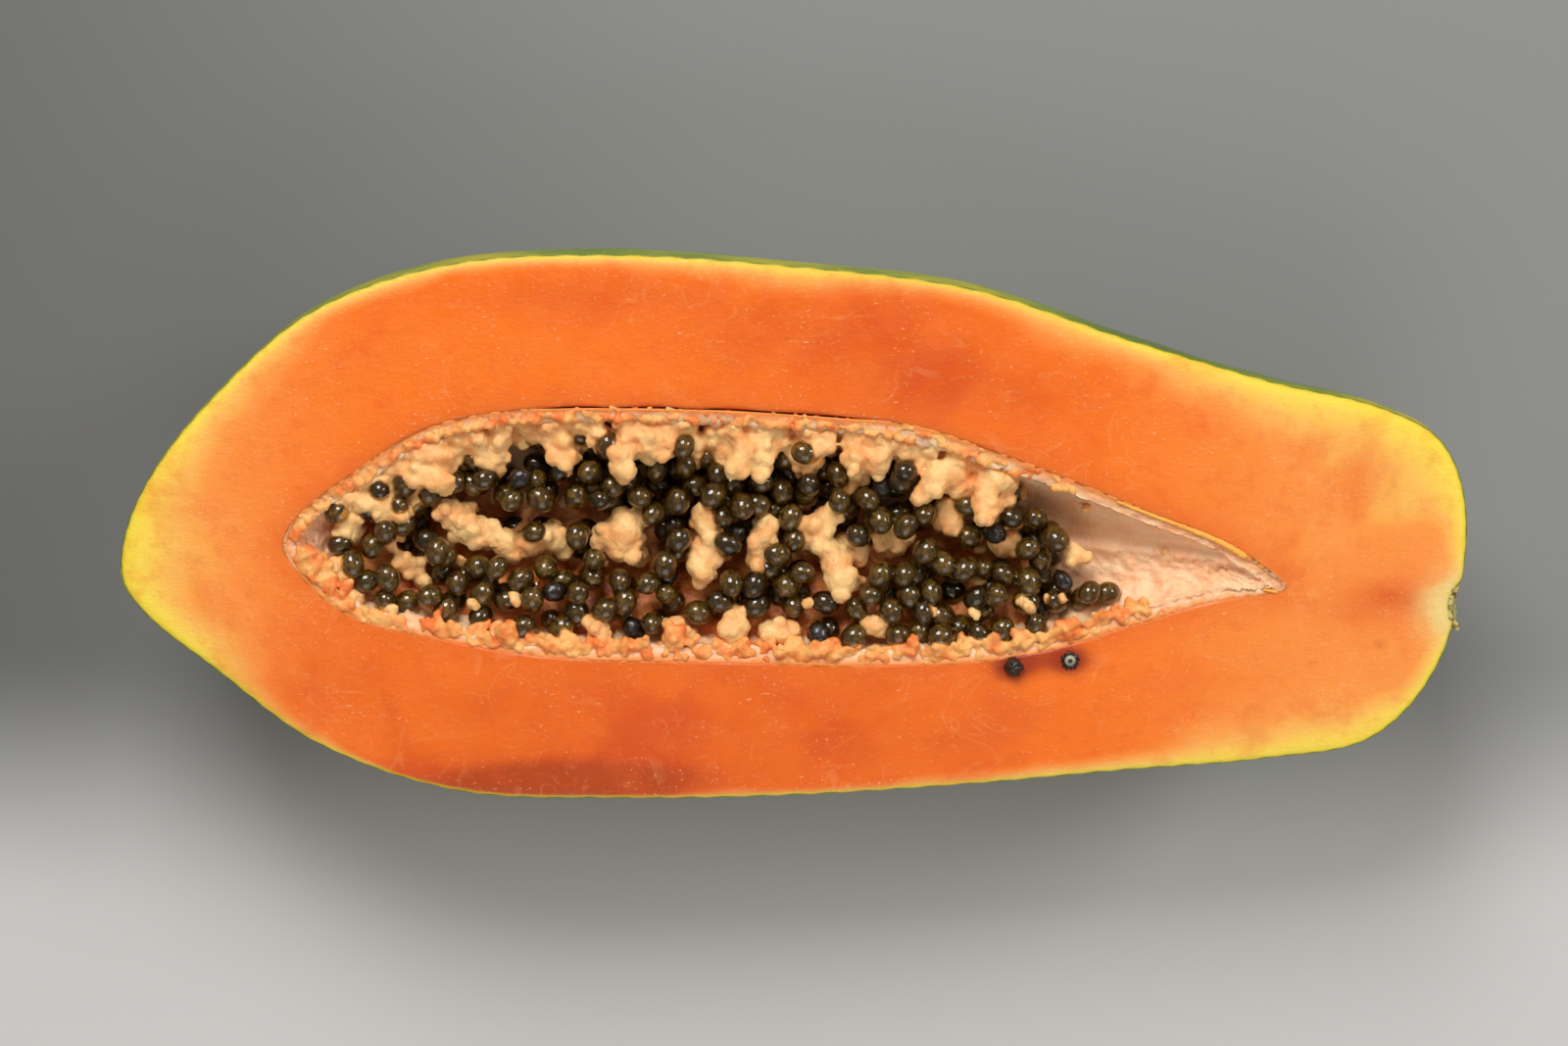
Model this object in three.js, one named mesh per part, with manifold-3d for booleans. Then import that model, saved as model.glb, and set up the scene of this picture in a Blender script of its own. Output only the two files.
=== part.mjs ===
// Half of a long ripe papaya, cut along its length and lying on its rind with the cut face up.
// Three solids: the flesh with its rind, the pale pulp lining of the seed cavity with the lobes that
// hang from its rim, and the bed of seeds that lies in the lining.
// Millimetres. +X runs to the stem end, +Y across the fruit, +Z up. The origin is under the middle
// of the fruit, on the surface that it rests on.
import * as THREE from "three";
import { mergeVertices } from "three/addons/utils/BufferGeometryUtils.js";
import Module from "manifold-3d";

// ---- driving dimensions -------------------------------------------------------------------------

const LENGTH = 300;
const REST_FLAT = 2.4; // how much of the round underside the resting flat takes off
const LINING = 2.4; // thickness of the pulp lining
const GAP = 0.3; // between neighbouring solids

// An edge in the cut plane is a closed smooth curve. It runs round the fruit by an angle, from the
// blossom end along the +Y side to the stem end and back along the -Y side. Its x is worked out from
// the angle, and its y passes through these values, one for each 15 degrees.
const RIND_EDGE = {
  middle: 0,
  reach: LENGTH / 2,
  y: [
    -8.5, 8.6, 28.3, 48.8, 59.2, 61.1, 58.6, 53.7, 42.1, 33, 27.4, 18.4,
    -1, -29.2, -47.2, -52.1, -54.7, -58, -60.5, -61.2, -59.6, -49, -31.3, -19,
  ],
};
const CAVITY_EDGE = {
  middle: -1.9,
  reach: 111.5,
  y: [
    -3.3, 3.4, 12, 22.7, 26.8, 27.2, 26, 22.8, 13.8, 4.5, -2.5, -9.5,
    -13.1, -14.4, -16, -21, -28, -30.6, -30.4, -29.7, -28.6, -24.3, -19.8, -10.5,
  ],
};

const FRUIT_DEPTH = 0.99; // depth of the half, as a share of its half width
const FRUIT_BULGE = 0.045; // how far the rind swells past the cut edge before it turns under
const CAVITY_DEPTH = 0.96;

// The dry scar of the stem, a shallow cup that the cut goes through.
const STEM_SCAR = { x: 151.2, y: -17.5, radius: 6.2, depth: 4.6 };

// How finely the round bodies are faceted: rings along the fruit and sides round it.
const FRUIT_FACETS = { rings: 40, sides: 28 };
const CAVITY_FACETS = { rings: 26, sides: 16 };

// ---- edges and sections -------------------------------------------------------------------------

// A smooth closed curve through evenly spaced values, at an angle in radians.
function around(values, angle) {
  const n = values.length;
  const at = ((angle / (2 * Math.PI)) * n) % n;
  const i = Math.floor(at);
  const t = at - i;
  const [a, b, c, d] = [-1, 0, 1, 2].map((k) => values[(i + k + n) % n]);
  return b + 0.5 * t * (c - a + t * (2 * a - 5 * b + 4 * c - d + t * (3 * (b - c) + d - a)));
}

// The cross-section of a body whose outline is an edge, at an angle from 0 to PI along it.
function section(edge, angle, inset = 0) {
  const upper = around(edge.y, angle);
  const lower = around(edge.y, 2 * Math.PI - angle);
  return {
    x: edge.middle - (edge.reach - inset) * Math.cos(angle),
    centre: (upper + lower) / 2,
    half: Math.max((upper - lower) / 2 - inset * Math.sin(angle), 0),
  };
}

// A closed body round the X axis: a sphere whose rings become the sections of an edge. place(s, turn)
// gives the y and z of a point of section s, with turn 0 on the +Y side and PI/2 straight down.
function lofted(edge, inset, facets, place) {
  const geometry = new THREE.SphereGeometry(1, facets.sides, facets.rings);
  const points = geometry.getAttribute("position");
  for (let i = 0; i < points.count; i++) {
    const s = section(edge, Math.acos(THREE.MathUtils.clamp(points.getY(i), -1, 1)), inset);
    const turn = Math.atan2(-points.getZ(i), points.getX(i));
    const { y, z } = place(s, turn);
    points.setXYZ(i, s.x, y, z);
  }
  return geometry;
}

// ---- solids from geometry and back --------------------------------------------------------------

const wasm = await Module();
wasm.setup();

function solid(geometry) {
  const bare = geometry.index ? geometry.toNonIndexed() : geometry.clone();
  bare.deleteAttribute("normal");
  bare.deleteAttribute("uv");
  const merged = mergeVertices(bare, 1e-3);
  const made = new wasm.Manifold(
    new wasm.Mesh({
      numProp: 3,
      vertProperties: merged.getAttribute("position").array,
      triVerts: new Uint32Array(merged.index.array),
    }),
  );
  return made;
}

function mesh(name, body, material) {
  const made = body.getMesh();
  const geometry = new THREE.BufferGeometry();
  geometry.setAttribute("position", new THREE.BufferAttribute(made.vertProperties, 3));
  geometry.setIndex(new THREE.BufferAttribute(made.triVerts, 1));
  const shown = new THREE.Mesh(geometry.toNonIndexed(), material);
  shown.geometry.computeVertexNormals();
  shown.name = name;
  return shown;
}

// An egg of three radii, or a pear where pear is over 0: its -Y end is the thick one.
function ball({ at, radii, turn = 0, pear = 0, detail = 1 }) {
  const geometry = new THREE.IcosahedronGeometry(1, detail);
  const points = geometry.getAttribute("position");
  for (let i = 0; i < points.count; i++) {
    const thick = 1 - pear * points.getY(i);
    points.setXYZ(i, points.getX(i) * thick, points.getY(i), points.getZ(i) * thick);
  }
  geometry.scale(...radii);
  geometry.rotateZ(turn);
  geometry.translate(...at);
  return solid(geometry);
}

// Even noise from 0 to 1 for the i-th of a row of repeated things.
function chance(i, salt) {
  const s = Math.sin(i * 12.9898 + salt * 78.233) * 43758.5453;
  return s - Math.floor(s);
}

// ---- flesh and rind -----------------------------------------------------------------------------

// Above the cut every point lies in the cut plane.
const round = solid(
  lofted(RIND_EDGE, 0, FRUIT_FACETS, (s, turn) => {
    const down = Math.max(Math.sin(turn), 0);
    const swell = turn > 0 && turn < Math.PI / 2 ? FRUIT_BULGE : FRUIT_BULGE / 2;
    return {
      y: s.centre + s.half * Math.cos(turn) * (1 + 4 * swell * down * (1 - down)),
      z: -s.half * FRUIT_DEPTH * down,
    };
  }),
);

// The belly loses a thin slice, so that the half lies steady with its cut face level.
const lowest = round.boundingBox().min[2] + REST_FLAT;
const aboveRest = new THREE.BoxGeometry(2 * LENGTH, LENGTH, LENGTH).translate(0, 0, lowest + LENGTH / 2);
const fruit = round.intersect(solid(aboveRest));

const ABOVE = 8; // how far a body that cuts the flesh reaches above the cut plane

function cavity(inset) {
  return solid(
    lofted(CAVITY_EDGE, inset, CAVITY_FACETS, (s, turn) => {
      const down = Math.sin(turn);
      const deep = down > 0 ? s.half * CAVITY_DEPTH : ABOVE;
      return { y: s.centre + s.half * Math.cos(turn), z: -deep * down };
    }),
  );
}

const scar = ball({
  at: [STEM_SCAR.x, STEM_SCAR.y, 0],
  radii: [STEM_SCAR.depth, STEM_SCAR.radius, STEM_SCAR.radius],
});
const flesh = fruit.subtract(cavity(0)).subtract(scar);

// ---- pulp lining and its lobes ------------------------------------------------------------------

// The lobes hang inward from the +Y rim, each one a pear-shaped finger.
const LOBES = {
  count: 20,
  from: 0.72, // angles of the rim
  to: 1.93,
  long: 7.6, // half lengths
  wide: 3.3,
  thick: 2.9,
  pear: 0.35,
  size: [0.72, 1.22], // smallest and largest, as a share of the half lengths
  below: [2.2, 5.6], // how far their middles lie below the cut
  astray: 2.4, // how far they wander along the rim
  aslant: 0.7, // and how far they turn, in radians
};

// The i-th of evenly spread values in a range.
function within([low, high], i, salt) {
  return THREE.MathUtils.lerp(low, high, chance(i, salt));
}

function lobeParts(grow = 0) {
  const parts = [];
  for (let i = 0; i < LOBES.count; i++) {
    const angle = THREE.MathUtils.lerp(LOBES.from, LOBES.to, i / (LOBES.count - 1));
    const s = section(CAVITY_EDGE, angle);
    const size = within(LOBES.size, i, 1);
    const long = LOBES.long * size;
    parts.push(
      ball({
        at: [
          s.x + (chance(i, 3) - 0.5) * LOBES.astray,
          s.centre + s.half - long,
          -within(LOBES.below, i, 4),
        ],
        radii: [LOBES.wide * size + grow, long + grow, LOBES.thick * size + grow],
        turn: (chance(i, 2) - 0.5) * LOBES.aslant,
        pear: LOBES.pear,
      }),
    );
  }
  return parts;
}

const lobes = wasm.Manifold.union(lobeParts());
const inside = cavity(GAP);
const belowCut = solid(new THREE.BoxGeometry(LENGTH, LENGTH, LENGTH).translate(0, 0, -LENGTH / 2));
const lining = inside
  .subtract(cavity(GAP + LINING))
  .add(lobes)
  .intersect(inside)
  .intersect(belowCut);

// ---- seed bed -----------------------------------------------------------------------------------

// The bed is a layer of seeds on the floor of the cavity that climbs to the -Y rim, so the +Y side
// stays hollow. The seeds on its top and a few clumps of pulp make it uneven.
const BED = { floorCover: 8.5, rimDrop: 3.2 };
const SEEDS = { count: 60, radii: [3.7, 3, 2.6], sunk: 0.9, along: 0.93, across: [-0.88, 0.5] };
const CLUMPS = [
  // x, y, top below the cut plane, half width along x, half width along y, turn
  [-70, -2, 9, 6, 4, -0.4],
  [-36, 0, 8, 6.5, 4.2, 0.5],
  [-20, -6, 6, 3.6, 7, 0.2],
  [-8, -6, 5, 3.6, 6, -0.4],
  [10, -8, 4.5, 3.6, 8.5, 0.3],
  [18, -1, 8, 5, 4.5, 0],
];

function cavitySection(x) {
  const along = THREE.MathUtils.clamp((CAVITY_EDGE.middle - x) / CAVITY_EDGE.reach, -1, 1);
  return section(CAVITY_EDGE, Math.acos(along));
}

function bedTop(x, y) {
  const s = cavitySection(x);
  const across = THREE.MathUtils.clamp((y - s.centre) / Math.max(s.half, 1), -1, 1);
  const climb = THREE.MathUtils.smoothstep(-across, -0.15, 0.8);
  const low = Math.min(BED.floorCover - s.half * CAVITY_DEPTH, -BED.rimDrop);
  return THREE.MathUtils.lerp(low, -BED.rimDrop, climb);
}

// A block that reaches well past the cavity, whose top is the top of the bed.
const block = new THREE.BoxGeometry(2 * CAVITY_EDGE.reach, 70, 80, 20, 9, 1);
block.translate(CAVITY_EDGE.middle, 0, 0);
const blockPoints = block.getAttribute("position");
for (let i = 0; i < blockPoints.count; i++) {
  if (blockPoints.getZ(i) > 0) blockPoints.setZ(i, bedTop(blockPoints.getX(i), blockPoints.getY(i)));
}

// The seeds spread evenly over the bed: the golden ratio sets how far across each one lies.
const GOLDEN = (Math.sqrt(5) - 1) / 2;
const seeds = [];
for (let i = 0; i < SEEDS.count; i++) {
  const x = CAVITY_EDGE.middle + CAVITY_EDGE.reach * SEEDS.along * ((2 * i + 1) / SEEDS.count - 1);
  const s = cavitySection(x);
  const y = s.centre + s.half * THREE.MathUtils.lerp(...SEEDS.across, (i * GOLDEN) % 1);
  const at = [x, y, bedTop(x, y) - SEEDS.sunk];
  seeds.push(ball({ at, radii: SEEDS.radii, turn: 3 * chance(i, 5), detail: 0 }));
}

const clumps = CLUMPS.map(([x, y, top, rx, ry, turn]) =>
  ball({ at: [x, y, -top - 5], radii: [rx, ry, 5], turn }),
);

const bed = solid(block)
  .add(wasm.Manifold.union([...seeds, ...clumps]))
  .subtract(wasm.Manifold.union(lobeParts(GAP)))
  .intersect(cavity(LINING + 2 * GAP));

// ---- the assembled half -------------------------------------------------------------------------

const paint = (color, roughness) =>
  new THREE.MeshStandardMaterial({ color, roughness, metalness: 0 });

const half = new THREE.Group();
half.add(mesh("flesh", flesh, paint(0xf47f33, 0.45)));
half.add(mesh("pulp_lining", lining, paint(0xf3b67c, 0.6)));
half.add(mesh("seed_bed", bed, paint(0x2b2718, 0.25)));

const extent = new THREE.Box3().setFromObject(half);
const middle = extent.getCenter(new THREE.Vector3());
half.position.set(-middle.x, -middle.y, -extent.min.z);

export default half;
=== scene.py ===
# Half of a long ripe papaya that lies on its rind with its cut face up.
# The pieces are worked out in millimetres in the frame of the cut: x runs to the stem end, y across
# the fruit, and z is 0 in the plane of the cut. settle() then puts each one where the frame has it.
import math
import random

import bmesh
import bpy
import numpy as np
from mathutils import Euler, Matrix, Vector, kdtree, noise


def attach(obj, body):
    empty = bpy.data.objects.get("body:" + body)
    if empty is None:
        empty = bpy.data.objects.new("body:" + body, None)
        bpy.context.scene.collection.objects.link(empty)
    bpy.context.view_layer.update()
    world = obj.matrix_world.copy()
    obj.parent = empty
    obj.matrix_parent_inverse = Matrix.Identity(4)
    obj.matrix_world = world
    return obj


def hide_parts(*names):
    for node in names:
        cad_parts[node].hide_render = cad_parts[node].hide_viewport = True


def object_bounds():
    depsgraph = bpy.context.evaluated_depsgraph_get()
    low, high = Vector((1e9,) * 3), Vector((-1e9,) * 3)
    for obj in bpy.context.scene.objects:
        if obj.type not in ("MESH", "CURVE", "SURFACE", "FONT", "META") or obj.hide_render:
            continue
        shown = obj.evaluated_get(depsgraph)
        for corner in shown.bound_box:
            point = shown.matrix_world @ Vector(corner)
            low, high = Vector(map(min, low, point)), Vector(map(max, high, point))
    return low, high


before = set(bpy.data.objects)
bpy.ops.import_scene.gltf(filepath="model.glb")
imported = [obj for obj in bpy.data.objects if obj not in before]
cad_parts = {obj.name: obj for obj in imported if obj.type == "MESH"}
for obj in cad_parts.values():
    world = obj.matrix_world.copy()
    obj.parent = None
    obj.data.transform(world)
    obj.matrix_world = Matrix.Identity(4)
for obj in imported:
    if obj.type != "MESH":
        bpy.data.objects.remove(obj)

cad_low, cad_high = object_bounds()

# ---- flesh and rind --------------------------------------------------------------------------
# The orange flesh is a thick bowl round the seed cavity, and its green and yellow rind is its outer
# skin. The knife leaves the flesh flat and wet, with a thin line of rind round it, then a yellow
# band that is wide at both ends of the fruit, and a crack along the +Y side of the cavity.

MM = 0.001
RIND_EDGE = {
    "middle": 0, "reach": 150,
    "y": [-8.5, 8.6, 28.3, 48.8, 59.2, 61.1, 58.6, 53.7, 42.1, 33, 27.4, 18.4,
          -1, -29.2, -47.2, -52.1, -54.7, -58, -60.5, -61.2, -59.6, -49, -31.3, -19],
}
CAVITY_EDGE = {
    "middle": -1.9, "reach": 111.5,
    "y": [-3.3, 3.4, 12, 22.7, 26.8, 27.2, 26, 22.8, 13.8, 4.5, -2.5, -9.5,
          -13.1, -14.4, -16, -21, -28, -30.6, -30.4, -29.7, -28.6, -24.3, -19.8, -10.5],
}
FRUIT_DEPTH, FRUIT_BULGE = 0.99, 0.045
CAVITY_DEPTH = 0.96
STEM_SCAR = {"x": 151.2, "y": -17.5, "radius": 6.2, "depth": 4.6}
# How wide the yellow band is, at the same angles as the values of the edges.
YELLOW_BAND = [14.5, 11, 4.5, 2, 1.4, 1.8, 2.8, 2.4, 3.6, 5, 9.5, 16,
               4, 3, 6.5, 4.6, 2.4, 1.4, 0.9, 0.8, 0.8, 1.2, 4, 9.5]
CRACK = {"from": 0.95, "to": 1.85, "width": 0.9}
# Soft spots of deeper orange on the cut face: x, y, reach along, reach across, strength. The last and
# strongest one is painted shade along the -Y edge.
DEEP_ORANGE_AND_SHADE = [
    (-54, 52, 28, 5, 0.6), (12, 44, 38, 11, 0.95), (36, 31, 26, 8, 1), (-54, -44, 45, 12, 0.8),
    (9, -45, 45, 12, 0.85), (-100, -33, 20, 10, 0.4), (134, -16, 13, 5, 1.25), (-53, -58, 40, 6, 2.4),
]
STAINS = [
    (49.2, -31, 5, 3.6, 1), (61.9, -29.7, 4.5, 3.4, 1), (55, -29, 10, 3.6, 0.5),
    (131, -26, 1.8, 1.4, 0.45),
]


def around(values, angle):
    """A smooth closed curve through evenly spaced values, at an angle in radians."""
    count = len(values)
    at = angle / math.tau * count % count
    i = int(at)
    t = at - i
    a, b, c, d = (values[(i + k) % count] for k in (-1, 0, 1, 2))
    return b + 0.5 * t * (c - a + t * (2 * a - 5 * b + 4 * c - d + t * (3 * (b - c) + d - a)))


def section(edge, angle, inset=0):
    """The x, the centre and the half width of an edge's body, at an angle from 0 to pi."""
    upper, lower = around(edge["y"], angle), around(edge["y"], math.tau - angle)
    x = edge["middle"] - (edge["reach"] - inset) * math.cos(angle)
    return x, (upper + lower) / 2, max((upper - lower) / 2 - inset * math.sin(angle), 0)


def rim_point(edge, angle, inset=0):
    """A point of an edge in the cut plane, at an angle from 0 to a full turn."""
    x, centre, half = section(edge, min(angle, math.tau - angle), inset)
    return Vector((x, centre + (half if angle < math.pi else -half), 0))


def smooth(low, high, value):
    t = min(max((value - low) / (high - low), 0), 1)
    return t * t * (3 - 2 * t)


def crack_open(angle):
    """Where along the rim the pulp has come away from the flesh, from 0 to 1."""
    opens = smooth(CRACK["from"], CRACK["from"] + 0.2, angle)
    return opens * (1 - smooth(CRACK["to"] - 0.2, CRACK["to"], angle))


def spots(point, places):
    """How strongly soft spots cover a point of the cut face."""
    return sum(
        strength * math.exp(-(((point.x - x) / along) ** 2) - ((point.y - y) / beside) ** 2)
        for x, y, along, beside, strength in places
    )


def thick_bowl(rings, sides, across):
    """A closed bowl of radius 1 with a hollow of radius 0.5, its mouth at z = 0, its poles on x."""
    bowl = bmesh.new()
    for radius in (1, 0.5):
        bmesh.ops.create_uvsphere(
            bowl, u_segments=2 * sides, v_segments=rings, radius=radius,
            matrix=Matrix.Rotation(math.pi / 2, 4, "Y"),
        )
    everything = bowl.verts[:] + bowl.edges[:] + bowl.faces[:]
    bmesh.ops.bisect_plane(
        bowl, geom=everything, dist=1e-5, plane_co=(0, 0, 0), plane_no=(0, 0, 1), clear_outer=True
    )
    rim = [e for e in bowl.edges if e.is_boundary and e.verts[0].co.length > 0.9]
    inward = bmesh.ops.extrude_edge_only(bowl, edges=rim)["geom"]
    inward = [g for g in inward if isinstance(g, bmesh.types.BMVert)]
    bmesh.ops.scale(bowl, verts=inward, vec=(0.5, 0.5, 0.5))
    hollow_rim = [v for v in bowl.verts if v.co.length < 0.501 and abs(v.co.z) < 1e-6]
    bmesh.ops.remove_doubles(bowl, verts=hollow_rim, dist=1e-4)
    spokes = [e for e in bowl.edges if abs(e.verts[0].co.length - e.verts[1].co.length) > 0.4]
    bmesh.ops.subdivide_edges(bowl, edges=spokes, cuts=across - 1)
    bmesh.ops.recalc_face_normals(bowl, faces=bowl.faces)
    return bowl


def bowl_place(point):
    """A bowl vert's angle along the fruit, its turn from the +Y side down, and its layer from 0,
    the hollow, to 1, the outside. In the mouth the angle is that of a full turn."""
    radius = point.length
    angle = math.acos(min(max(-point.x / radius, -1), 1))
    turn = math.atan2(-point.z, point.y)
    in_mouth = abs(point.z) < 1e-6
    if in_mouth and point.y < -1e-6:
        angle = math.tau - angle
    return angle, turn, 2 * radius - 1, in_mouth


def notched(point):
    """The stem scar takes a shallow cup out of the stem end."""
    off = math.hypot(point.y - STEM_SCAR["y"], point.z) / STEM_SCAR["radius"]
    if off < 1:
        point.x = min(point.x, STEM_SCAR["x"] - STEM_SCAR["depth"] * math.sqrt(1 - off * off))
    return point


def rind_point(angle, turn):
    x, centre, half = section(RIND_EDGE, angle)
    down = math.sin(turn)
    swell = FRUIT_BULGE if turn < math.pi / 2 else FRUIT_BULGE / 2
    wide = half * math.cos(turn) * (1 + 4 * swell * down * (1 - down))
    place = Vector((x, centre + wide, -half * FRUIT_DEPTH * down))
    # Five shallow furrows run along a papaya, and its skin is never quite even.
    relief = 0.5 * math.cos(5 * turn) + 1.3 * noise.noise(place / 34) + 0.35 * noise.noise(place / 9)
    place -= Vector((0, math.cos(turn), -down)) * relief * smooth(0, 0.5, down)
    place.z = max(place.z, belly)
    return notched(place)


def cavity_point(edge_inset, angle, turn, proud=0):
    x, centre, half = section(CAVITY_EDGE, angle, edge_inset)
    half = max(half - proud, 0)
    return Vector((x, centre + half * math.cos(turn), -half * CAVITY_DEPTH * math.sin(turn)))


def rim_tree(edge, shape=lambda point: point):
    """Finds how far a point of the cut face is from an edge."""
    steps = 1440
    tree = kdtree.KDTree(steps)
    for i in range(steps):
        tree.insert(shape(rim_point(edge, math.tau * i / steps)), i)
    tree.balance()
    return lambda point: tree.find(Vector((point.x, point.y, 0)))[2]


belly = (cad_low.z - cad_high.z) / MM
from_skin = rim_tree(RIND_EDGE, notched)
from_cavity = rim_tree(CAVITY_EDGE)

flesh = thick_bowl(rings=260, sides=48, across=40)
skin_faces = [f for f in flesh.faces if min(v.co.length for v in f.verts) > 0.99]
ripe_layer = flesh.verts.layers.float.new("ripe")
skin_layer = flesh.verts.layers.float.new("skin")
core_layer = flesh.verts.layers.float.new("core")
stem_layer = flesh.verts.layers.float.new("stem")
deep_and_shade_layer = flesh.verts.layers.float.new("deep")
stain_layer = flesh.verts.layers.float.new("stain")
for vert in flesh.verts:
    angle, turn, layer, in_mouth = bowl_place(vert.co)
    if in_mouth:
        inner, outer = rim_point(CAVITY_EDGE, angle), rim_point(RIND_EDGE, angle)
        torn = CRACK["width"] * crack_open(angle) * max(0.35 + noise.noise(inner / 9), 0)
        inner += (outer - inner).normalized() * torn
        place = notched(inner.lerp(outer, layer))
        skin, core = from_skin(place), from_cavity(place)
        place.z = 0.16 * noise.noise(place / 17) + 0.05 * noise.noise(place / 3.5)
        place.z -= 0.4 * math.exp(-skin * skin) + 0.12 * math.exp(-core * core)
        vert[ripe_layer] = skin / around(YELLOW_BAND, angle)
        vert[skin_layer], vert[core_layer] = skin, core
        vert[deep_and_shade_layer], vert[stain_layer] = spots(place, DEEP_ORANGE_AND_SHADE), spots(place, STAINS)
        to_scar = place - Vector((STEM_SCAR["x"] - 3, STEM_SCAR["y"], 0))
        vert[stem_layer] = math.exp(-(to_scar.length / 8.5) ** 2)
        vert.co = place
    elif layer > 0.5:
        vert.co = rind_point(angle, turn)
    else:
        vert.co = cavity_point(0, angle, turn)
for face in skin_faces:
    face.material_index = 1
for edge in flesh.edges:
    if len({f.material_index for f in edge.link_faces}) > 1:
        edge.smooth = False

across = [v.co.y for v in flesh.verts]
seat = Vector((
    (cad_low.x + cad_high.x) / 2,
    (cad_low.y + cad_high.y) / 2 - MM * (min(across) + max(across)) / 2,
    cad_high.z,
))


def settle(shape, name, materials, replaces=None):
    """Makes an object of a shape that was worked out in the frame of the cut."""
    shape.transform(Matrix.Translation(seat) @ Matrix.Scale(MM, 4))
    for face in shape.faces:
        face.smooth = True
    mesh = bpy.data.meshes.new(name)
    shape.to_mesh(mesh)
    shape.free()
    for material in materials:
        mesh.materials.append(material)
    piece = bpy.data.objects.new(name, mesh)
    bpy.context.scene.collection.objects.link(piece)
    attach(piece, "root")
    if replaces:
        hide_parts(replaces)
    return piece


def tone(red, green, blue):
    """A colour from its display values."""
    levels = [v / 255 for v in (red, green, blue)]
    return [v / 12.92 if v < 0.04045 else ((v + 0.055) / 1.055) ** 2.4 for v in levels] + [1]


def finish(name, **values):
    """A new material and the nodes that every pattern needs: its shader, and millimetres."""
    material = bpy.data.materials.new(name)
    material.use_nodes = True
    tree = material.node_tree
    shader = tree.nodes["Principled BSDF"]
    for socket, value in values.items():
        shader.inputs[socket.replace("_", " ")].default_value = value
    coordinates = tree.nodes.new("ShaderNodeTexCoord").outputs["Object"]
    millimetres = node(tree, "Mapping", {"Vector": coordinates, "Scale": (1 / MM,) * 3}).outputs[0]
    return material, tree, shader, millimetres


def node(tree, kind, sockets=(), **settings):
    """A new node: a socket takes a value or another node's output."""
    made = tree.nodes.new("ShaderNode" + kind)
    for name, value in settings.items():
        setattr(made, name, value)
    for key, value in dict(sockets).items():
        if isinstance(value, bpy.types.NodeSocket):
            tree.links.new(value, made.inputs[key])
        else:
            made.inputs[key].default_value = value
    return made


def grain(tree, place, size, detail=3, rough=0.55, stretch=(1, 1, 1), warp=0):
    """Even noise whose lumps are about size millimetres across."""
    moved = node(tree, "Mapping", {"Vector": place, "Scale": [s / size for s in stretch]})
    sockets = {"Vector": moved.outputs[0], "Scale": 1, "Detail": detail, "Roughness": rough}
    return node(tree, "TexNoise", sockets | {"Distortion": warp}).outputs["Fac"]


def attribute(tree, name):
    return node(tree, "Attribute", attribute_name=name).outputs["Fac"]


def spread(tree, value, low, high, to_low=0, to_high=1):
    """A value between low and high made to run from to_low to to_high."""
    sockets = {"Value": value, 1: low, 2: high, 3: to_low, 4: to_high}
    return node(tree, "MapRange", sockets, interpolation_type="SMOOTHSTEP").outputs[0]


def times(tree, first, second):
    return node(tree, "Math", {0: first, 1: second}, operation="MULTIPLY").outputs[0]


def paint(tree, amount, under, over, how="MIX"):
    """One colour laid over another."""
    sockets = {0: amount, 6: under, 7: over}
    return node(tree, "Mix", sockets, data_type="RGBA", blend_type=how).outputs[2]


def ramp(tree, value, stops):
    """Colours along a value, as (position, colour) stops."""
    made = node(tree, "ValToRGB", {"Fac": value})
    elements = made.color_ramp.elements
    while len(elements) < len(stops):
        elements.new(1)
    for element, (position, color) in zip(elements, stops):
        element.position, element.color = position, color
    return made.outputs["Color"]


def bump(tree, shader, *layers):
    """Bumps over bumps: each layer is a height from 0 to 1 and how many millimetres it stands."""
    normal = None
    for height, stand in layers:
        sockets = {"Height": height, "Distance": stand * MM, "Strength": 1}
        if normal:
            sockets["Normal"] = normal
        normal = node(tree, "Bump", sockets).outputs["Normal"]
    tree.links.new(normal, shader.inputs["Normal"])


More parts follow.
